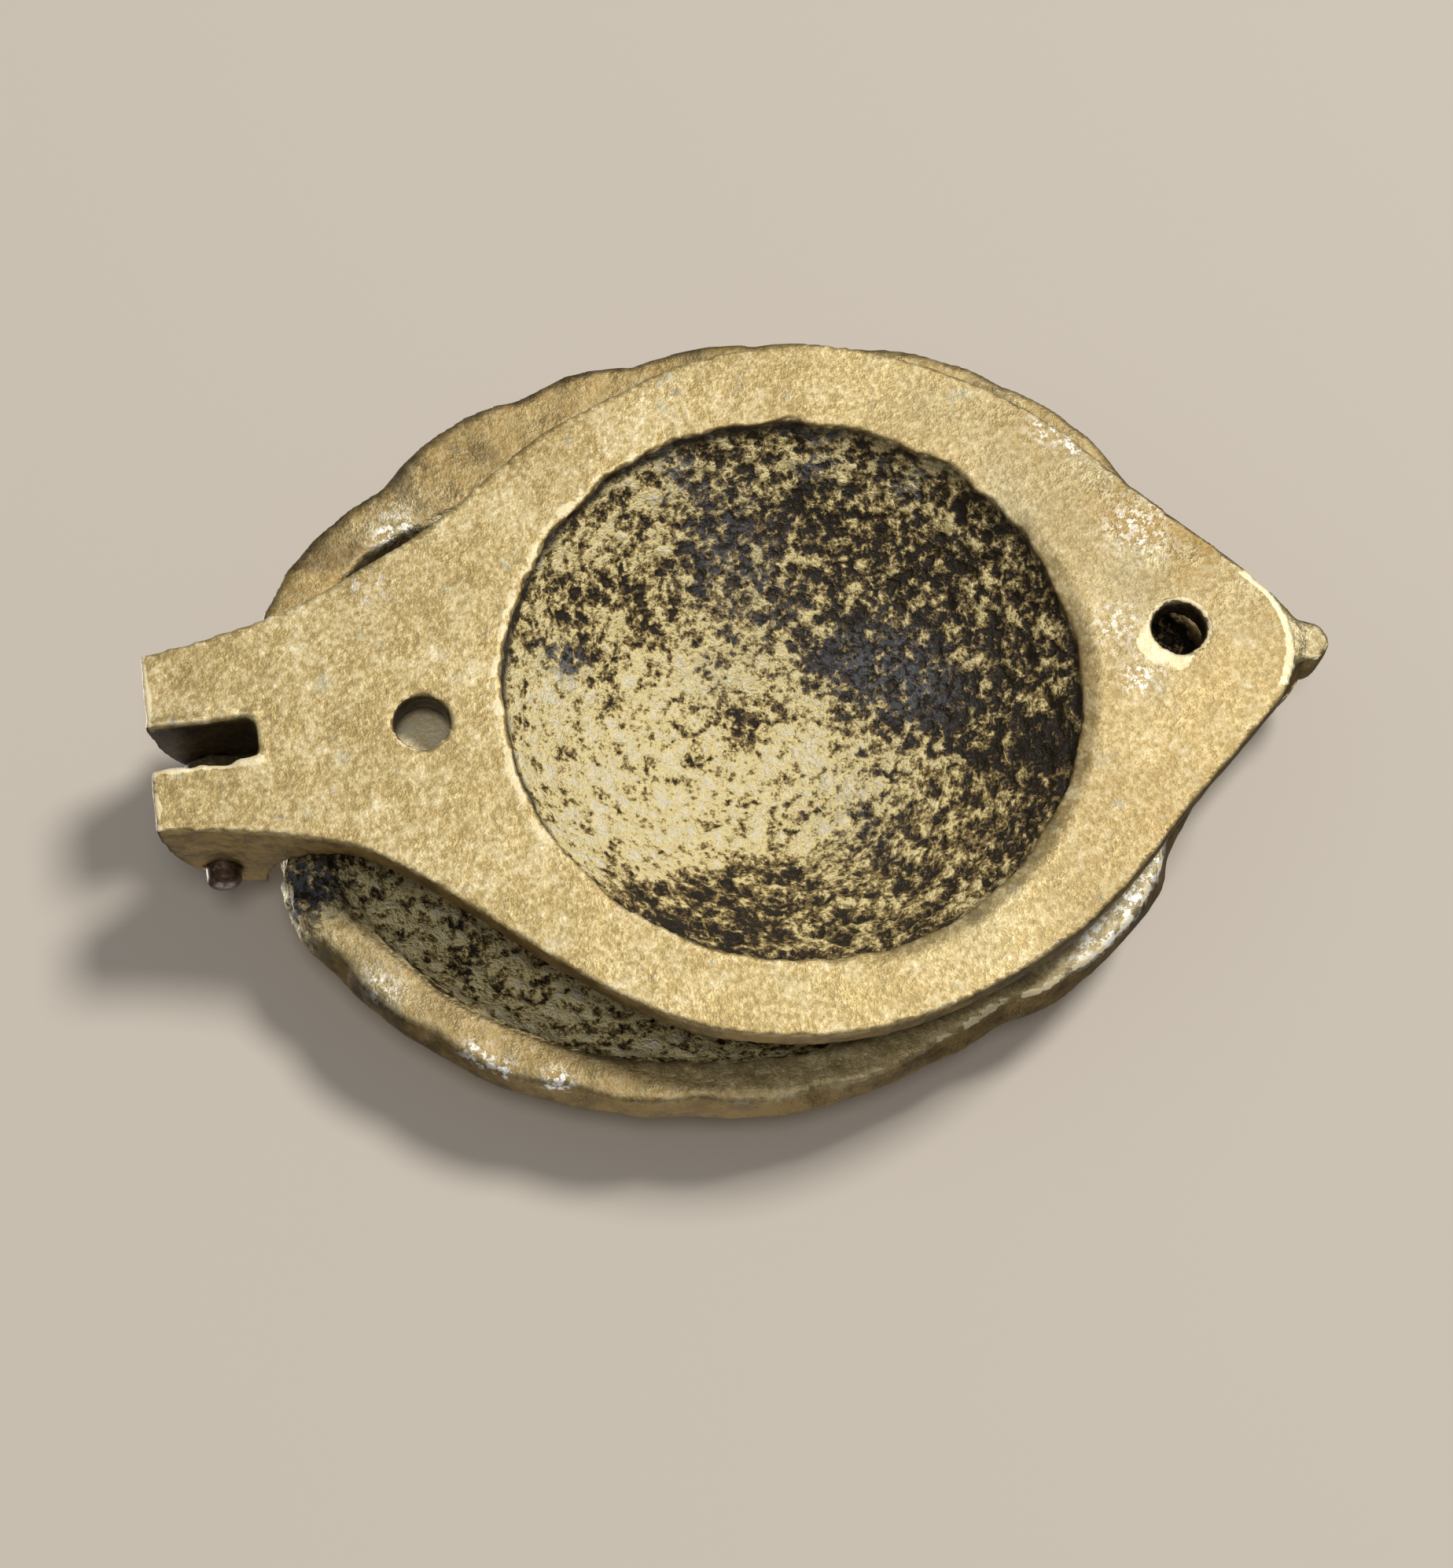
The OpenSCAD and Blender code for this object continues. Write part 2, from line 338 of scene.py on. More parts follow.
CREAM = (0.97, 0.89, 0.65)
FRESH = (0.80, 0.66, 0.37)
YELLOW_GOLD = (0.97, 0.82, 0.41)
SKIN_CREAM = (0.80, 0.72, 0.50)
SKIN_PALE = (0.59, 0.485, 0.26)
GOLD = (0.42, 0.315, 0.125)
OLD_GOLD = (0.31, 0.23, 0.093)
OLIVE = (0.20, 0.142, 0.052)
BRONZE = (0.25, 0.152, 0.036)
BRONZE_DARK = (0.115, 0.064, 0.013)
BROWN = (0.085, 0.052, 0.020)
DARK = (0.018, 0.012, 0.006)
SLATE = (0.20, 0.215, 0.25)
CHALK = (0.82, 0.81, 0.76)
VERDIGRIS = (0.42, 0.46, 0.38)
PATINA = (0.33, 0.30, 0.185)
ROSE = (0.52, 0.33, 0.22)


def brass_skin(s, grain, mottle, layer):
    """Even skin: gold and olive grain, a few small stains, olive where the tone layer is high."""
    tint = s.sum((grain, 0.5), (mottle, 0.35), (s.noise(8, 3, 3), 0.15))
    skin = s.mix(s.ramp(tint, 0.40, 0.50), OLD_GOLD, GOLD)
    skin = s.mix(s.ramp(tint, 0.47, 0.56), skin, SKIN_PALE)
    skin = s.mix(s.ramp(tint, 0.55, 0.64), skin, SKIN_CREAM)
    skin = s.mix(s.ramp(s.noise(3.2, 4, 3), 0.60, 0.70, 0, 0.4), skin, VERDIGRIS)
    skin = s.mix(s.ramp(s.noise(1.6, 5, 3), 0.66, 0.72, 0, 0.5), skin, SLATE)
    skin = s.mix(s.ramp(s.noise(2.4, 6, 3), 0.68, 0.76, 0, 0.5), skin, ROSE)
    skin = s.mix(s.math("MULTIPLY", layer["blue"], s.ramp(tint, 0.62, 0.42, 0.35, 0.9)), skin, PATINA)
    bronze = s.mix(s.ramp(mottle, 0.38, 0.62), BRONZE_DARK, BRONZE)
    bloom = s.math("MULTIPLY", layer["blue"], s.ramp(grain, 0.38, 0.60, 0.1, 0.9))
    bronze = s.mix(bloom, bronze, PATINA)
    return s.mix(s.math("MULTIPLY", layer["tone"], 0.9), skin, bronze)


def rough_hollow(s, height, layer):
    """Bright peaks over black pits; a vertex layer of dirt and painted shade sets how far the black has crept up.
    """
    above = s.math("SUBTRACT", height, s.ramp(layer["dirt_and_shade"], -0.25, 1.25, 0.31, 0.53))
    rough = s.mix(s.ramp(above, -0.02, 0.02), DARK, BROWN)
    rough = s.mix(s.ramp(above, 0.0, 0.04), rough, OLIVE)
    rough = s.mix(s.ramp(above, 0.03, 0.09), rough, GOLD)
    rough = s.mix(s.ramp(above, 0.07, 0.14), rough, YELLOW_GOLD)
    rough = s.mix(s.ramp(above, 0.16, 0.28), rough, CREAM)
    blue = s.math("MULTIPLY", layer["blue"], s.ramp(s.noise(0.6, 9, 3, 0.6), 0.42, 0.58, 0, 0.8))
    return s.mix(blue, rough, SLATE)


def cast_brass(name):
    """Old sand-cast brass, coloured by the vertex layers, which carry painted shade and painted highlights as well
    as stains and wear.
    """
    s = Shader(name)
    layer = {n: s.attribute(n) for n in LAYERS}
    grain = s.noise(0.44, 2, 4, 0.62)
    mottle = s.noise(2.2, 1, 4, 0.62)
    lace = s.noise(1.10, 7, 4, 0.66, 0.3)
    along = s.vector(layer["ring"], s.math("MULTIPLY", layer["round"], 0.4), 0.0)
    drawn = s.noise(0.65, 12, 4, 0.66, 0.3, at=along)
    height = s.mix(layer["streak"], lace, drawn)
    height = s.sum((height, 0.95), (grain, 0.50), (layer["low"], -0.12))
    height = s.math("SUBTRACT", height, 0.165)
    colour = s.mix(layer["hollow"], brass_skin(s, grain, mottle, layer), rough_hollow(s, height, layer))
    # painted shade in concave corners, wear and painted highlight on convex edges, white deposits, soot and
    # painted shade in recesses
    colour = s.mix(s.ramp(layer["convex"], -0.015, -0.09, 0, 0.85), colour, BROWN)
    # cream on convex edges: wear and painted highlight
    untoned = s.ramp(layer["tone"], 0.3, 0.9, 1, 0)
    edge_wear_and_highlight = s.math("MULTIPLY", s.ramp(layer["convex"], 0.035, 0.10, 0, 0.7), untoned)
    colour = s.mix(edge_wear_and_highlight, colour, CREAM)
    # brighter metal where the vertex layer says: wear, and painted highlights on lit edges and on the pad
    rubbed_and_highlit = s.math("ADD", layer["wear_and_highlight"], s.ramp(mottle, 0.3, 0.7, -0.18, 0.18))
    rubbed_and_highlit = s.ramp(rubbed_and_highlit, 0.42, 0.56)
    colour = s.mix(rubbed_and_highlit, colour, s.mix(s.ramp(grain, 0.4, 0.6), FRESH, SKIN_CREAM))
    flakes = s.math("MULTIPLY", layer["chalk"], s.ramp(s.noise(0.8, 11, 4, 0.7), 0.50, 0.56))
    colour = s.mix(flakes, colour, CHALK)
    # near-black where the vertex layer says: dirt and dark patina, and painted shade in the holes, the slot, the
    # knuckle's arm and under the lip
    black = s.mix(s.ramp(grain, 0.50, 0.62), DARK, BROWN)
    colour = s.mix(layer["soot_and_shade"], colour, black)
    s.put(s.surface.inputs["Base Color"], colour)
    metal = s.math("MULTIPLY", s.ramp(layer["soot_and_shade"], 0, 1, 1, 0.2), s.ramp(layer["hollow"], 0, 1, 0.50, 0.15))
    metal = s.math("MULTIPLY", metal, s.ramp(rubbed_and_highlit, 0, 1, 1, 0.5))
    metal = s.math("MULTIPLY", metal, s.ramp(layer["tone"], 0.3, 1, 1, 1.8))
    s.put(s.surface.inputs["Metallic"], metal)
    s.put(s.surface.inputs["Roughness"], s.ramp(mottle, 0.3, 0.7, 0.40, 0.58))
    fine = s.bump(grain, 0.13, 0.8)
    coarse = s.bump(s.math("MULTIPLY", height, layer["hollow"]), 0.9, 1.0, fine)
    s.put(s.surface.inputs["Normal"], coarse)
    return s.material


def dull_steel(name):
    """Brown-dulled drawn rod."""
    s = Shader(name)
    rust = s.noise(1.1, 21, 4, 0.65)
    colour = s.mix(s.ramp(rust, 0.4, 0.62), (0.16, 0.12, 0.09), (0.08, 0.04, 0.022))
    colour = s.mix(s.ramp(s.noise(0.5, 22, 3), 0.58, 0.68), colour, (0.26, 0.22, 0.18))
    s.put(s.surface.inputs["Base Color"], colour)
    s.surface.inputs["Metallic"].default_value = 0.7
    s.put(s.surface.inputs["Roughness"], s.ramp(rust, 0.35, 0.65, 0.28, 0.5))
    s.put(s.surface.inputs["Normal"], s.bump(rust, 0.12, 0.7))
    return s.material


# ---------- back plate ----------

# patches in the round hollow: (x, z, radius, strength)
BOWL_DIRT = [
    (-2.0, 10.0, 2.2, 0.35), (-0.4, 4.5, 2.0, 0.55), (2.6, 9.5, 1.8, 0.3), (-4.0, -6.5, 5.0, 0.42),
    (9.3, -4.5, 1.8, 0.5), (9.6, 2.5, 2.5, 0.2), (18.8, 15.0, 3.4, 0.30), (20.2, 8.0, 4.0, 0.25),
    (14.6, 18.5, 2.0, 0.3), (1.5, -13.5, 4.0, 0.3), (-8.8, 18.5, 3.0, 0.35),
]
BOWL_BLUE = [
    (-4.5, -6.5, 4.5, 0.85), (-1.0, -12.0, 4.0, 0.8), (-6.2, 20.2, 1.7, 1.3), (-9.5, 2.0, 5.0, 0.45),
    (9.5, -3.0, 5.0, 0.5), (-16.5, 4.0, 4.5, 0.55), (-5.5, 7.0, 3.0, 0.35),
]
PLATE_TONE = [
    (-19, -20, 9, 0.15), (-27, 2, 7, 0.2), (-24, 20, 6, 0.2), (-12, -33, 8, 0.25),
    (20, -24, 8, 0.14), (27, -8, 6, 0.10),
]
PLATE_PATINA = [
    (-15, -28, 9, 0.9), (-5, -36, 7, 0.8), (4, -30, 3.5, 0.6), (-22, -16, 6, 0.5), (24, -14, 9, 0.35),
]
PLATE_CHALK = [
    (4.2, -28.6, 1.5, 0.9), (-1.0, -27.5, 2.0, 0.7), (-9.5, -31.0, 2.5, 0.6), (-20.6, -25.0, 1.3, 1.3),
    (-18.6, -27.0, 1.1, 1.2), (-13, 36, 2.0, 0.5),
]


def bowl_layers(points, depth, radius):
    """Dirt and painted shade, blue, streak and polar layers of the round hollow."""
    x, z = points[:, 0], points[:, 2]
    wander = rough_noise(points, 6, 21, 4)
    # the lighter part lies below a line that runs level from the hinge side, then slopes to the tip side; above it
    # the hollow is darker, partly patina and partly painted shade
    edge = np.maximum(-8.5, -6.0 - z) + 5.0 * wander
    upper = step(edge - x, -7.0, 7.0)
    flecks = rough_noise(points, 2.4, 27, 2)
    side = step(np.arctan2(x - bowl_x, -(z - bowl_z)), -1.3, 0.2) * step(radius, 11, 17)
    streak = step(x + 0.25 * (bowl_z - z), 8.5, 13) * step(radius, 9, 14)
    # darker on the upper part, and more on the upper-right wall: patina and painted shade
    dirt_and_shade = 0.03 + 0.63 * upper + 0.16 * wander + 0.14 * flecks
    dirt_and_shade += 0.56 * streak * (1 - 0.5 * upper) + 0.15 * side * upper
    dirt_and_shade += spots(points, BOWL_DIRT) - 0.26 * step(z, 4, 16) * step(-x, 8, 12)
    blue = spots(points, BOWL_BLUE) * (0.7 + 0.5 * wander)
    around = np.arctan2(z - bowl_z, x - bowl_x) * radius
    return {
        "dirt_and_shade": np.clip(dirt_and_shade, -0.2, 1.15), "blue": np.clip(blue, 0, 1), "streak": 0.7 * streak,
        "ring": radius + 0.5 * depth, "round": around,
    }


def shape_bowl_mouth(points, depth, radius, tipward, lower):
    """Ragged lip on the hinge side and above, worn round towards the tip."""
    across = points - (bowl_x, 0, bowl_z)
    near = step(np.abs(radius - BOWL_R), 1.3, 0.2) * step(depth, 2.2, 0.6)
    ragged = near * (0.20 + 0.30 * step(-lower, -0.2, 0.6))
    shift = ragged * rough_noise(points, 2.6, 22)
    points = points + across * (shift / np.maximum(radius, 1))[:, None] * (1, 0, 1)
    round_off = step(np.abs(radius - BOWL_R), 1.6, 0) * step(0.9 * tipward + 0.5 * lower, 0.25, 0.9)
    return points - np.outer(0.42 * round_off * step(depth, 1.6, 0.2), (0, 1, 0))


def hole_layers(points, depth):
    """Painted shade inside the screw holes, and a brighter ring round each, wider on one side."""
    x, z = points[:, 0], points[:, 2]
    soot_and_shade, wear_and_highlight = np.zeros(len(points)), np.zeros(len(points))
    for side, thin, thick in ((1, 0.1, 0.2), (-1, 0.35, 1.5)):
        dx, dz = x, z - side * HOLE_Z
        away = np.hypot(dx, dz)
        # painted shade down the inside of the hole
        soot_and_shade += step(away, HOLE_R + 0.35, HOLE_R + 0.1) * step(depth, 0.25, 0.6)
        leaning = step((dx + dz) / np.maximum(away, 0.1), 0.5, 1.4)
        edge = HOLE_R + 0.2 + thin + thick * leaning
        wear_and_highlight += step(away, edge + 0.3, edge - 0.3) * step(depth, 0.5, 0.3)
    return soot_and_shade, wear_and_highlight


def crevice(points):
    """A short crack with a chipped lump beside it, on the upper left edge of the plate."""
    x, z = points[:, 0], points[:, 2]
    along = (x + 19.4) * 0.75 + (z - 29.9) * 0.66
    off = (x + 19.4) * -0.66 + (z - 29.9) * 0.75 + 0.35 * np.sin(along * 1.8)
    crack = step(np.abs(off), 0.5, 0.15) * step(np.abs(along), 1.9, 1.3)
    lump = np.exp(-(((x + 20.6) / 1.5) ** 2 + ((z - 31.0) / 1.6) ** 2))
    return crack, lump


def slot_rim(points, depth):
    """1 along the ragged mouth of the slot between the ears, on the face side."""
    off = np.abs(points[:, 0] - hinge_x)
    return step(points[:, 2], SLOT_END - 0.8, SLOT_END) * step(off, 3.0, 2.0) * step(depth, 2.5, 0.8)


def plate_recess_shade(points, depth, radius, tipward):
    """Painted shade inside the slot, and under the lip of the hollow, stronger away from the tip side."""
    off = np.abs(points[:, 0] - hinge_x)
    # painted shade inside the slot
    in_slot = step(off, SLOT_HALF + 0.35, SLOT_HALF + 0.1) * step(points[:, 2], SLOT_END - 0.5, SLOT_END)
    # painted shade under the lip of the hollow
    lip = step(np.abs(radius - BOWL_R), 0.7, 0.35) * step(depth, 0.2, 0.5)
    in_slot = in_slot * step(depth, 0.3, 0.9) * (0.75 + 0.3 * rough_noise(points, 2, 23))
    return in_slot, lip * step(depth, 1.9, 1.0) * (0.55 + 0.45 * step(-tipward, -0.5, 0.2))


def plate_wear_and_highlights(points, radius, tipward, lower, hole_rings, slot_mouth):
    """Brighter metal round the holes, on the ear ends, the slot's lip and the tip, and a painted highlight on the
    lip of the hollow.
    """
    x, z = points[:, 0], points[:, 2]
    # painted highlight on the rounded lip of the hollow, on its hinge side and upper side
    lip_highlight = np.exp(-(((radius - BOWL_R - 0.6) / 0.6) ** 2)) * step(-0.9 * tipward - 0.35 * lower, 0.2, 0.8)
    ear_end = step(z, 54.9, 55.6)
    slot_lip = slot_mouth * step(x - hinge_x, 1.2, 1.9)
    from_tip = np.hypot(x - TIP_AT[0], z - TIP_AT[1])
    tip_strip = step(from_tip, TIP_R - 1.1, TIP_R - 0.5) * step(z, -38, -39.5)
    tip_strip = tip_strip * step(x, -5.5, -3.5) * step(x, 7.0, 6.2)
    return np.maximum.reduce(
        [0.62 * hole_rings, 0.54 * lip_highlight, 0.58 * ear_end, 0.8 * slot_lip, tip_strip]
    )


def plate_stain(points):
    """Olive tone of the ground face, stronger towards the tip."""
    x, z = points[:, 0], points[:, 2]
    tip_tone = 0.38 * step(-z, 13, 24) + 0.42 * step(-z, 22, 34) * step(-x, -5, 5)
    return (tip_tone + spots(points, PLATE_TONE)) * (0.7 + 0.6 * rough_noise(points, 7, 25))


def make_plate():
    piece = cast_mesh("back_plate", "plate_casting", PLATE_VOXEL)
    mesh = piece.data
    points, normals = read_points(mesh)
    depth = -points[:, 1]
    radius = np.hypot(points[:, 0] - bowl_x, points[:, 2] - bowl_z)
    tipward = -(points[:, 2] - bowl_z) / np.maximum(radius, 1)
    lower = (points[:, 0] - bowl_x) / np.maximum(radius, 1)
    in_bowl = (radius < BOWL_R + 0.5) & (normals[:, 1] > -0.25)
    hollow = in_bowl * step(depth, 0.3, 0.9)
    ground = step(depth, 0.5, 0.15) * (normals[:, 1] > 0.5)
    # pitted floor of the hollow, sand-cast skin elsewhere, flatter on the ground face
    layers = bowl_layers(points, depth, radius)
    relief = pitted(points, 1) * (0.45 + 0.55 * step(layers["dirt_and_shade"], 0.0, 0.6))
    skin = 0.10 * rough_noise(points, 3.2, 4) + 0.05 * rough_noise(points, 1.0, 5, 2)
    lift = hollow * relief + (1 - hollow) * (1 - 0.6 * ground) * skin
    slot_mouth = slot_rim(points, depth)
    lift += slot_mouth * (0.35 * rough_noise(points, 1.5, 6, 2) + 0.1)
    crack, lump = crevice(points)
    lift += (0.35 * lump - 0.9 * crack) * step(depth, 3.0, 1.0)
    write_points(mesh, shape_bowl_mouth(points + normals * lift[:, None], depth, radius, tipward, lower))
    # colour layers, from the places before the relief was added
    convex = convexity(mesh, 2)
    hole_shade, hole_rings = hole_layers(points, depth)
    slot_shade, lip_shade = plate_recess_shade(points, depth, radius, tipward)
    # painted shade in the holes, the slot and under the lip, and the dark line of the crack
    soot_and_shade = hole_shade + slot_shade + (lip_shade + crack)
    wear_and_highlight = plate_wear_and_highlights(points, radius, tipward, lower, hole_rings, slot_mouth) * ground
    # lighter along the convex edges of the face: wear and painted highlight
    wear_and_highlight += 0.55 * step(depth, 1.2, 0.4) * step(convex, 0.03, 0.08)
    # the side walls take the darker bronze tone: partly their own finish, partly painted shade
    flank = step(normals[:, 1], 0.55, 0.25) * (1 - hollow)
    above = step(-lower, 0.45, 0.8) * step(radius, 20.5, 23.6) * hollow
    blue = layers["blue"] + above * step(rough_noise(points, 5, 24), 0.1, 0.4)
    patina = spots(points, PLATE_PATINA) * (0.8 + 0.8 * rough_noise(points, 5, 26))
    layers |= {
        "hollow": hollow, "low": lowness(relief), "convex": convex,
        "dirt_and_shade": layers["dirt_and_shade"] - 0.10 * above,
        "blue": np.clip(hollow * blue + (1 - hollow) * patina, 0, 1),
        "tone": np.clip(flank + plate_stain(points), 0, 1),
        "wear_and_highlight": np.clip(wear_and_highlight, 0, 1), "soot_and_shade": np.clip(soot_and_shade, 0, 1),
        "chalk": np.clip(spots(points, PLATE_CHALK), 0, 1) * (1 - hollow),
    }
    store(mesh, layers)
    mesh.materials.append(brass)
    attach(piece, "plate")
    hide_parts("back_plate")


# ---------- knocker ----------

# white and green deposits on the rim, and blue-black dirt beside the hinge: (x, z, radius, strength)
RIM_CHALK = [
    (27.5, 32.0, 1.2, 1.5), (29.0, 30.0, 0.9, 1.3), (30.9, 25.6, 1.1, 1.5), (20.5, 39.5, 1.5, 0.6),
    (25.0, -22.4, 3.0, 0.9), (21.2, -26.6, 3.0, 1.0), (17.9, -29.4, 2.5, 0.8), (-21.5, 33.0, 1.8, 0.9),
]
SHOULDER = [(10.5, 44.5, 3.6, 1.3)]
GREEN_RIM = [(22, -25, 7, 0.9), (20, 40, 4, 0.5), (-0.6, -47.5, 3, 1.0), (-22, 33, 4, 0.6)]
# where brown silt fills the hollow's edge, at the upper left
SILTED = [(-20.5, 35.5, 4.5, 1.6)]
# painted shade: the knocker's hollow is darkened in front of the lower screw hole, so the hole looks dark inside
HOLLOW_SHADE = [(-4, -34, 6, 1.0)]


def open_bore(points):
    """The remesh draws the knuckle's bore in a little, so its wall goes back out to BORE_R."""
    out = points[:, 1:] - (hinge_y, hinge_z)
    away = np.linalg.norm(out, axis=1)
    in_bore = (away < BORE_R) & (np.abs(points[:, 0] - hinge_x) < BORE_ZONE)
    grow = np.where(in_bore, BORE_R / np.maximum(away, 0.1), 1)
    points = points.copy()
    points[:, 1:] = (hinge_y, hinge_z) + out * grow[:, None]
    return points


def knocker_zones(points, normals, depth):
    """Shares from 0 to 1: rough hollow, the arm inside the slot (near-black: dark patina and painted shade), and
    the dirty shoulder beside the hinge.
    """
    x, z = points[:, 0], points[:, 2]
    inward = np.stack([UMBO[0] - x, UMBO[1] - z], 1)
    inward /= np.maximum(np.linalg.norm(inward, axis=1), 1)[:, None]
    facing_in = normals[:, 0] * inward[:, 0] + normals[:, 2] * inward[:, 1]
    # the outer wall flares, so its foot faces the door a little, but it never faces inward
    inside = (facing_in > 0.0) | ((depth > 11) & (facing_in > -0.8))
    inner = inside & (normals[:, 1] > 0.03)
    silted = np.clip(spots(points, SILTED), 0, 1)
    hollow = inner * step(depth, RIM_DEPTH + 0.35, RIM_DEPTH + 0.9) * (1 - silted)
    arm = step(z, 45.0, 46.0) * step(np.abs(x - hinge_x), 2.4, 1.9) * step(depth, 14, 13)
    shoulder = np.clip(spots(points, SHOULDER), 0, 1) * (normals[:, 1] > -0.2)
    return np.maximum(hollow * (1 - arm), shoulder), arm, shoulder


def knocker_layers(points, normals, depth, zones, relief, convex):
    """Colour layers of the knocker."""
    x, z = points[:, 0], points[:, 2]
    hollow, arm, shoulder = zones
    # painted highlight: the pad floor seen through the upper screw hole is painted pale cream for the light it
    # catches
    from_pad = np.hypot(x - PAD_AT[0], z - PAD_AT[1])
    pad_highlight = step(from_pad, PAD_R + 0.6, PAD_R) * step(depth, PAD_DEPTH + 1, PAD_DEPTH + 0.3)
    band = step(normals[:, 1], 0.3, 0.6) * (1 - hollow)
    # patches of dirt on the left half of the rim
    patches = step(rough_noise(points, 4.0, 17, 2), 0.10, 0.45) * band * step(-x, 5, 15)
    wander = rough_noise(points, 12, 16, 2)
    # the hollow is darker just inside the rim
    crease = hollow * step(depth, RIM_DEPTH + 2.0, RIM_DEPTH + 0.9)
    # the spots in front of the lower screw hole add painted shade
    dirt_and_shade = 0.20 + 0.22 * wander + 0.30 * crease + 0.3 * shoulder + spots(points, HOLLOW_SHADE)
    # the rim's tone is lighter at the lower right and darker at the upper left
    right = step(x, 4, 14) * step(-z, -20, -5)
    upper_left = step(-x, 8, 24) * step(z, -5, 15)
    tone = (1 - band) + band * (0.70 + 0.2 * wander - 0.3 * right + 0.12 * upper_left)
    # painted highlight along the rounded outer edge of the rim, at the lower right
    rim_edge_highlight = step(convex, 0.02, 0.06) * step(depth, RIM_DEPTH + 1.0, RIM_DEPTH + 0.4)
    rim_edge_highlight = rim_edge_highlight * step(-z, 0, 10) * step(x, -5, 5)
    blue = 0.6 * shoulder + 0.2 * hollow * wander + (0.35 + spots(points, GREEN_RIM)) * band
    chalk = np.clip(spots(points, RIM_CHALK), 0, 1) * (1 - hollow)
    return {
        "hollow": hollow, "low": lowness(relief), "convex": convex,
        "dirt_and_shade": np.clip(dirt_and_shade, 0, 1.15), "blue": np.clip(blue, 0, 1),
        "tone": np.clip(tone * (1 - pad_highlight), 0, 1), "wear_and_highlight": np.maximum(pad_highlight, rim_edge_highlight),
        # near-black arm in the slot: dark patina and painted shade; dirt patches on the rim
        "soot_and_shade": np.maximum(0.8 * arm, 0.35 * patches),
        "chalk": chalk * step(depth, RIM_DEPTH + 1.4, RIM_DEPTH + 0.7),
    }


def make_knocker():
    piece = cast_mesh("knocker", "knocker_casting", KNOCKER_VOXEL)
    mesh = piece.data
    points, normals = read_points(mesh)
    depth = -points[:, 1]
    zones = knocker_zones(points, normals, depth)
    hollow = zones[0]
    relief = pitted(points, 11)
    skin = 0.13 * rough_noise(points, 3.0, 14) + 0.05 * rough_noise(points, 1.0, 15, 2)
    near_pin = step(np.hypot(points[:, 2] - hinge_z, depth + hinge_y), 5.2, 3.4)
    lift = (hollow * relief + (1 - hollow) * skin) * (1 - near_pin)
    write_points(mesh, open_bore(points + normals * lift[:, None]))
    store(mesh, knocker_layers(points, normals, depth, zones, relief, convexity(mesh, 2)))
    mesh.materials.append(brass)
    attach(piece, "knocker")
    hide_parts("knocker")


# ---------- hinge pin ----------

def make_pin():
    """The pin with its ends peened round, as long and as thick as the CAD pin."""
    lo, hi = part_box("hinge_pin")
    middle = (lo + hi) / 2
    radius = (hi.z - lo.z) / 2
    dome = 0.55 * radius
    turns, rings = 40, 8
    profile = [(lo.x + dome * (1 - np.sin(a)), radius * np.cos(a)) for a in np.linspace(np.pi / 2, 0, rings)]
    profile += [(hi.x - dome * (1 - np.sin(a)), radius * np.cos(a)) for a in np.linspace(0, np.pi / 2, rings)]
    source = bmesh.new()
    loops = []
    angles = [2 * np.pi * k / turns for k in range(turns)]
    for x, r in profile:
        ring = [(x, middle.y + r * np.cos(a), middle.z + r * np.sin(a)) for a in angles]
        loops.append([source.verts.new(place) for place in ring])
    for one, two in zip(loops, loops[1:]):
        for k in range(turns):
            source.faces.new((one[k], one[(k + 1) % turns], two[(k + 1) % turns], two[k]))
    bmesh.ops.remove_doubles(source, verts=source.verts, dist=1e-7)
    bmesh.ops.recalc_face_normals(source, faces=source.faces)
    mesh = bpy.data.meshes.new("peened_pin")
    source.to_mesh(mesh)
    source.free()
    mesh.shade_smooth()
    mesh.materials.append(dull_steel("dull_steel"))
    piece = bpy.data.objects.new("peened_pin", mesh)
    bpy.context.scene.collection.objects.link(piece)
    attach(piece, "plate")
    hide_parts("hinge_pin")


# ---------- stage ----------

PICTURE_RIGHT = Vector((0.1532, 0.0485, -0.9870))
PICTURE_DOWN = Vector((0.9258, -0.3564, 0.1262))
LOOK = Vector((-0.3456, -0.9331, -0.0995))
CAMERA_AT = Vector((100.93, 247.88, 34.71)) * MM
LENS = 72.217
SENSOR = 36


def make_camera():
    data = bpy.data.cameras.new("camera")
    data.lens = LENS
    data.sensor_width = SENSOR
    data.sensor_fit = "AUTO"
    data.clip_start = 0.01
    data.clip_end = 10
    camera = bpy.data.objects.new("camera", data)
    bpy.context.scene.collection.objects.link(camera)
    turn = Matrix((PICTURE_RIGHT, -PICTURE_DOWN, -LOOK)).transposed().to_4x4()
    camera.matrix_world = Matrix.Translation(CAMERA_AT) @ turn
    bpy.context.scene.camera = camera


def add_lamp(name, direction, distance, size, power, colour=(1, 1, 1)):
    data = bpy.data.lights.new(name, "AREA")
    data.shape = "DISK"
    data.size = size
    data.energy = power
    data.color = colour
    lamp = bpy.data.objects.new(name, data)
    bpy.context.scene.collection.objects.link(lamp)
    out = Vector(direction).normalized()
    lamp.location = out * distance
    lamp.rotation_mode = "QUATERNION"
    lamp.rotation_quaternion = out.to_track_quat("Z", "Y")


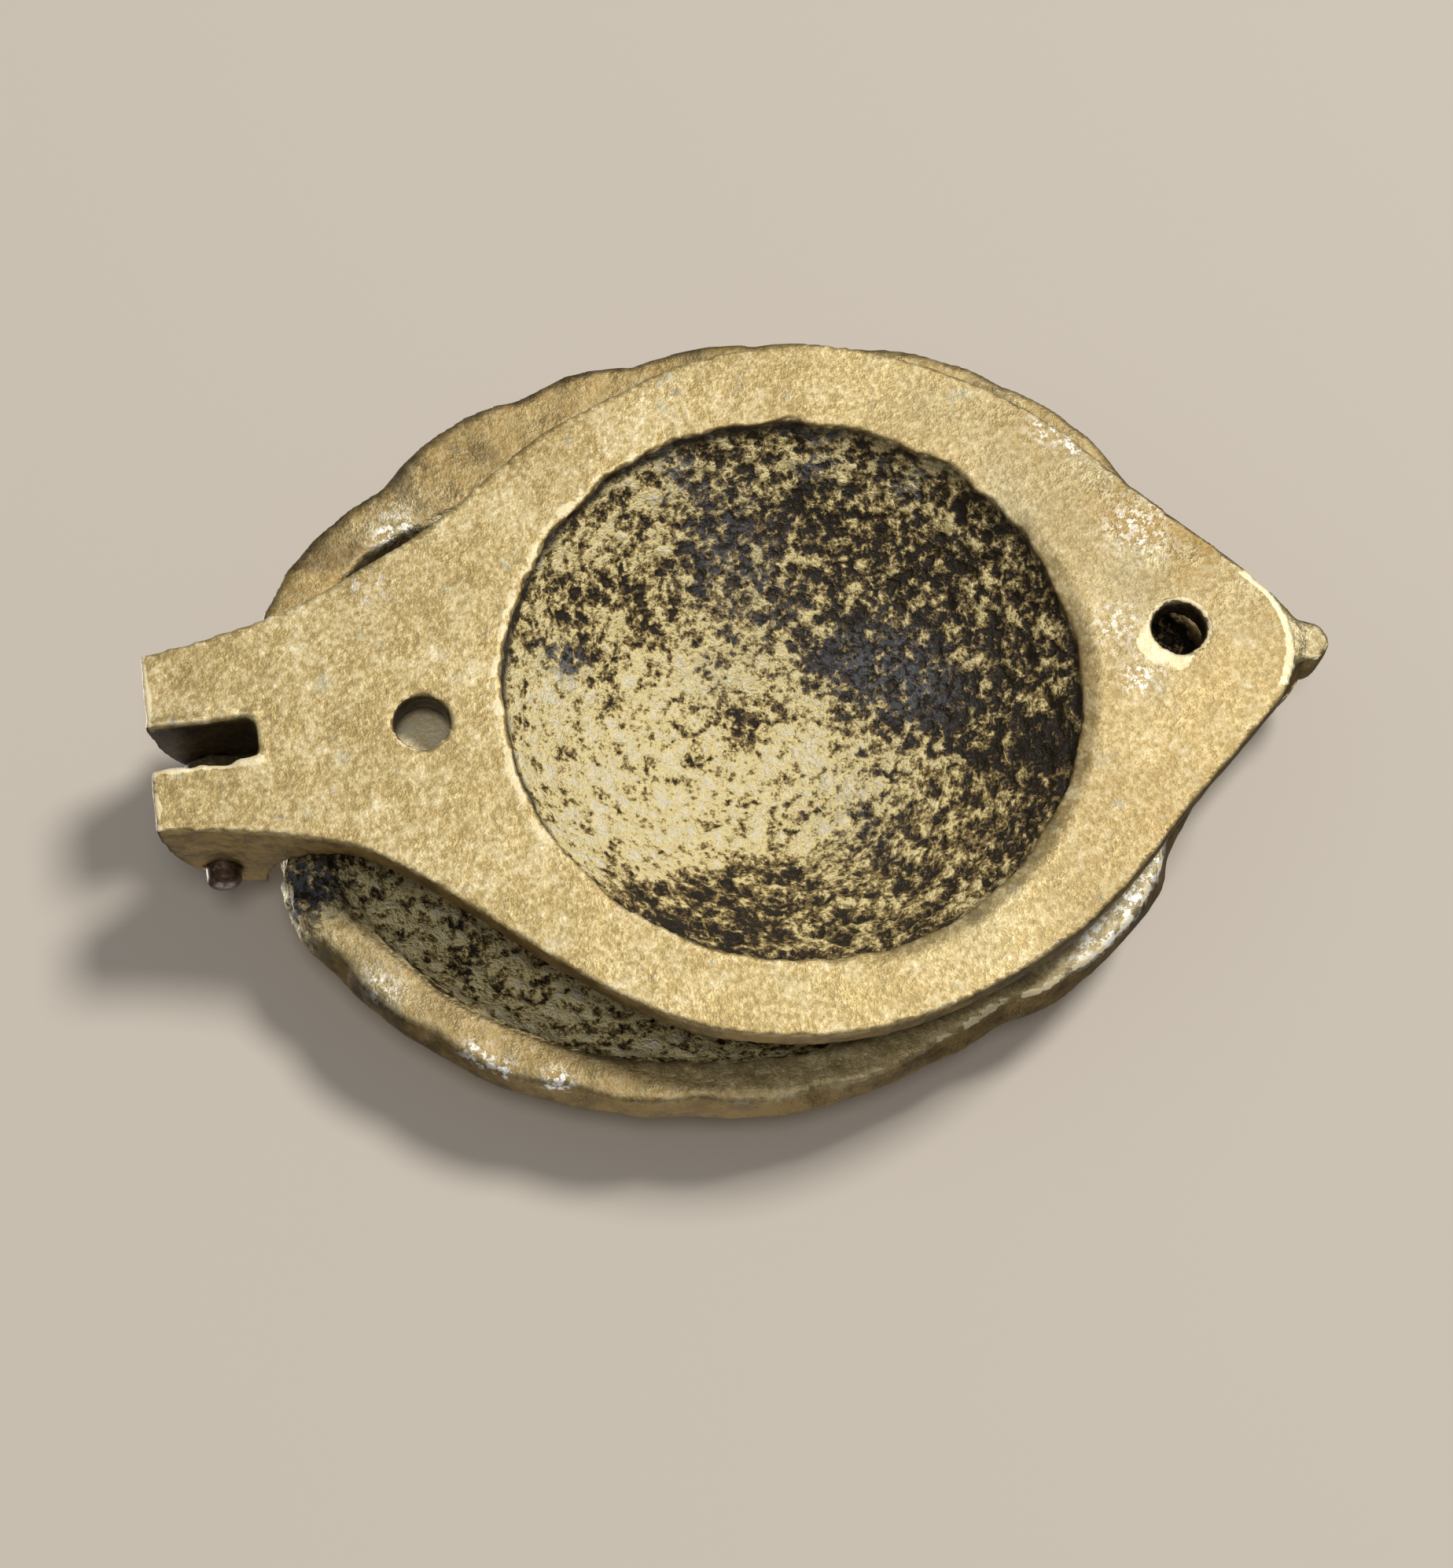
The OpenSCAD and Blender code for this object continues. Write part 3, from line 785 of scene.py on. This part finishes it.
def make_lights():
    key = 0.40 * PICTURE_RIGHT - 0.62 * PICTURE_DOWN - 0.66 * LOOK
    add_lamp("key", key, 1.6, 0.38, 20.0, (1.0, 0.96, 0.90))
    add_lamp("top", (0.22, 0.96, 0.04), 1.3, 0.35, 3.6, (1.0, 0.98, 0.95))
    fill = -0.7 * PICTURE_RIGHT - 0.3 * PICTURE_DOWN - 0.8 * LOOK
    add_lamp("fill", fill, 1.0, 0.8, 0.6, (0.93, 0.96, 1.0))
    add_lamp("front_key", (-0.5, -0.8, 0.6), 1.0, 0.5, 5, (1.0, 0.97, 0.93))
    add_lamp("front_fill", (0.8, -0.6, 0.1), 1.0, 0.9, 2.5, (0.94, 0.97, 1.0))
    world = bpy.data.worlds.new("studio")
    bpy.context.scene.world = world
    world.use_nodes = True
    background = world.node_tree.nodes["Background"]
    background.inputs["Color"].default_value = (0.92, 0.90, 0.88, 1)
    background.inputs["Strength"].default_value = 0.17


def make_floor():
    """The floor that the knocker's front lies on, seen from its upper side only."""
    half = 1.5
    y = cad_box[0].y - 0.1 * MM
    mesh = bpy.data.meshes.new("floor")
    corners = [(-half, y, -half), (-half, y, half), (half, y, half), (half, y, -half)]
    mesh.from_pydata(corners, [], [(0, 1, 2, 3)])
    floor = bpy.data.objects.new("floor", mesh)
    bpy.context.scene.collection.objects.link(floor)
    s = Shader("pale_floor")
    s.surface.inputs["Base Color"].default_value = (0.56, 0.513, 0.453, 1)
    s.surface.inputs["Roughness"].default_value = 0.8
    clear = s.tree.nodes.new("ShaderNodeBsdfTransparent")
    back = s.tree.nodes.new("ShaderNodeNewGeometry").outputs["Backfacing"]
    both = s.tree.nodes.new("ShaderNodeMixShader")
    s.put(both.inputs[0], back)
    s.put(both.inputs[1], s.surface.outputs[0])
    s.put(both.inputs[2], clear.outputs[0])
    s.put(s.output.inputs["Surface"], both.outputs[0])
    mesh.materials.append(s.material)
    floor.visible_diffuse = False
    floor.visible_glossy = False
    floor.visible_transmission = False
    floor.visible_shadow = False
    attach(floor, "knocker")


brass = cast_brass("cast_brass")
make_plate()
make_knocker()
make_pin()

make_camera()
make_lights()
make_floor()
bpy.context.scene.view_settings.view_transform = "Standard"
